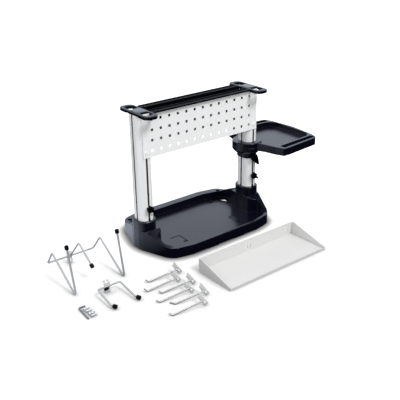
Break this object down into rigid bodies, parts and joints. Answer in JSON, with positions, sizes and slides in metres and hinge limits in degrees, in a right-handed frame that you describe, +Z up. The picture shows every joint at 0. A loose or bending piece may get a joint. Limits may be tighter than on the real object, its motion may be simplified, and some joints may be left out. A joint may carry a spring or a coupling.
{
  "type": "tool workcenter",
  "caption": "Tool workcenter with two posts on a tray base, a perforated panel pair, a top rail, a swivelling side tray and a loose kit of hooks, wire holders and a shelf.",
  "frame": {"origin": "middle of the base's underside, on the bench", "axes": "+X to the right along the panel, -Y towards the user, +Z up"},
  "size_m": [1.1915, 0.675, 0.53],
  "materials": {
    "body_plastic": "satin moulded",
    "foot_rubber": "matte",
    "screw_steel": "satin",
    "post_aluminium": "satin anodised",
    "panel_paint": "fine powder coat",
    "wire_steel": "satin grey coat",
    "key_steel": "darkened"
  },
  "bodies": {
    "stand": {"base_tray": "body_plastic", "base_feet": "foot_rubber", "left_socket": "body_plastic", "right_socket": "body_plastic", "left_post_screws": "screw_steel", "right_post_screws": "screw_steel", "left_post": "post_aluminium", "right_post": "post_aluminium", "left_cap": "body_plastic", "right_cap": "body_plastic", "top_rail": "body_plastic", "front_panel": "panel_paint", "back_panel": "panel_paint", "front_panel_screws": "screw_steel", "back_panel_screws": "screw_steel", "front_panel_nuts": "screw_steel", "back_panel_nuts": "screw_steel", "cradle_wire": "wire_steel", "cradle_mid_wire": "wire_steel", "cradle_tips": "foot_rubber", "cradle_plate": "wire_steel", "bracket_wire": "wire_steel", "bracket_tips": "foot_rubber", "bracket_plate": "wire_steel", "shelf": "panel_paint", "hex_key": "key_steel", "spare_screws": "key_steel", "hook_wire_1": "wire_steel", "hook_plate_1": "wire_steel", "hook_wire_2": "wire_steel", "hook_plate_2": "wire_steel", "hook_wire_3": "wire_steel", "hook_plate_3": "wire_steel", "hook_wire_4": "wire_steel", "hook_plate_4": "wire_steel", "hook_wire_5": "wire_steel", "hook_plate_5": "wire_steel", "hook_wire_6": "wire_steel", "hook_plate_6": "wire_steel"},
    "left_clamp": {"left_clamp_bolt": "screw_steel", "left_clamp_nut": "screw_steel"},
    "left_knob_body": {"left_knob": "body_plastic"},
    "right_clamp": {"right_clamp_bolt": "screw_steel", "right_clamp_nut": "screw_steel"},
    "right_knob_body": {"right_knob": "body_plastic"},
    "collar": {"tray_collar": "body_plastic", "hub_retainer": "body_plastic", "collar_screw": "screw_steel", "collar_nut": "screw_steel"},
    "tray": {"side_tray": "body_plastic"},
    "lever": {"collar_lever": "body_plastic"}
  },
  "joints": [
    {"name": "collar_slide", "type": "slide", "parent": "stand", "child": "collar", "axis": [0, 0, 1], "range_m": [-0.008, 0.045]},
    {"name": "tray_swivel", "type": "hinge", "parent": "collar", "child": "tray", "pos_m": [0.255, -0.009, 0.29], "axis": [0, 0, 1], "continuous": true},
    {"name": "lever_turn", "type": "hinge", "parent": "collar", "child": "lever", "pos_m": [0.255, -0.055, 0.249], "axis": [0, 1, 0], "range_deg": [-45, 45]},
    {"name": "left_clamp_slide", "type": "slide", "parent": "stand", "child": "left_clamp", "axis": [0, 0, 1], "range_m": [-0.02, 0.12]},
    {"name": "left_knob_turn", "type": "hinge", "parent": "left_clamp", "child": "left_knob_body", "pos_m": [-0.255, -0.055, 0.165], "axis": [0, 1, 0], "continuous": true},
    {"name": "right_clamp_slide", "type": "slide", "parent": "stand", "child": "right_clamp", "axis": [0, 0, 1], "range_m": [-0.02, 0.002]},
    {"name": "right_knob_turn", "type": "hinge", "parent": "right_clamp", "child": "right_knob_body", "pos_m": [0.255, -0.055, 0.165], "axis": [0, 1, 0], "continuous": true}
  ]
}
